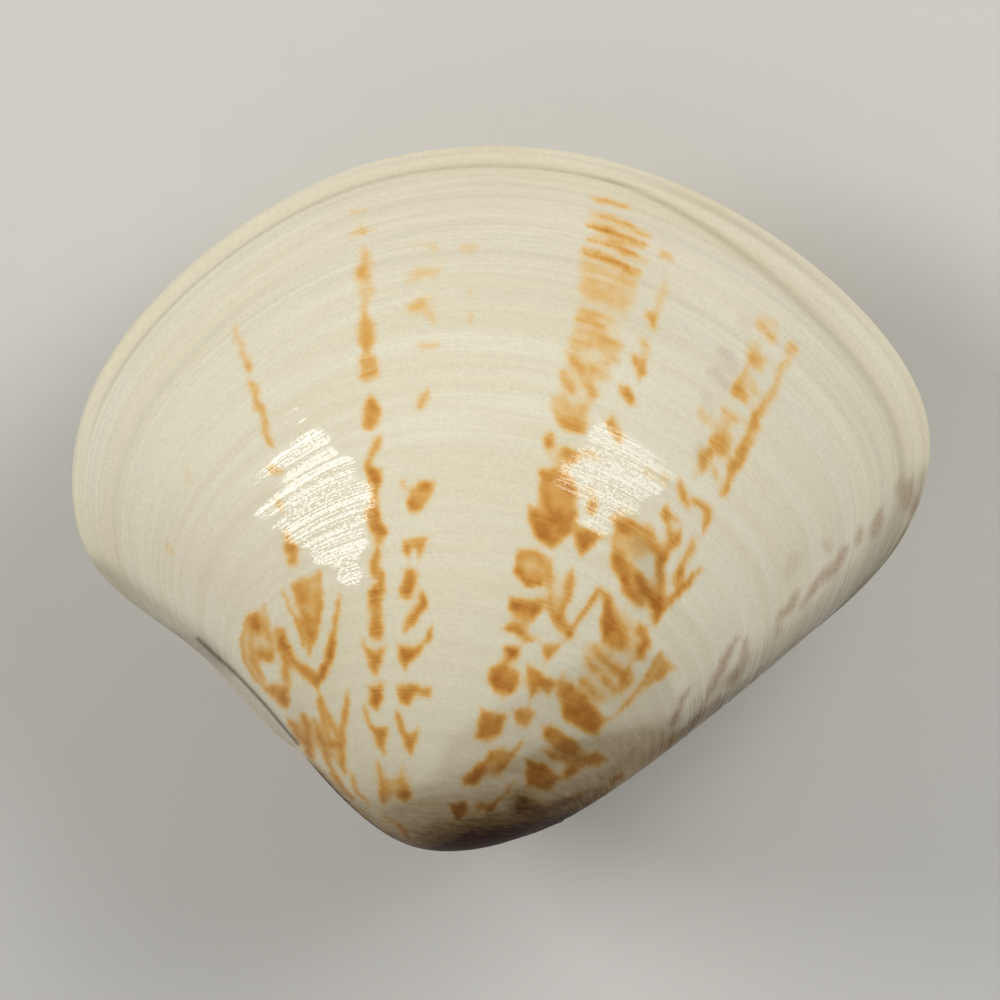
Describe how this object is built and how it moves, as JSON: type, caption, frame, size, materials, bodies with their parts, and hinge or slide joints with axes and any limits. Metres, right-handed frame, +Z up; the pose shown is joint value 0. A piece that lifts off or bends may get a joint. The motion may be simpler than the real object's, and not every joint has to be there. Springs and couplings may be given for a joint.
{
  "type": "closed bivalve seashell",
  "caption": "Closed sea clam shell with rounded triangular valves, low beaks and a smooth cream surface with brown zigzag rays, lying on its side.",
  "frame": {"origin": "on the surface that the shell lies on, below the middle of its box", "axes": "+X towards the rear end, along the shell's length; +Y towards the belly edge; +Z up, out of the right valve"},
  "size_m": [0.0398, 0.033, 0.023],
  "materials": {
    "right_valve_shell": "polished calcium carbonate, cream with ochre brown zigzag rays",
    "left_valve_shell": "polished calcium carbonate, cream with ochre brown zigzag rays",
    "ligament_horn": "dry horny, dark brown"
  },
  "bodies": {
    "root": {"right_valve": "right_valve_shell", "left_valve": "left_valve_shell", "ligament": "ligament_horn"}
  },
  "joints": []
}
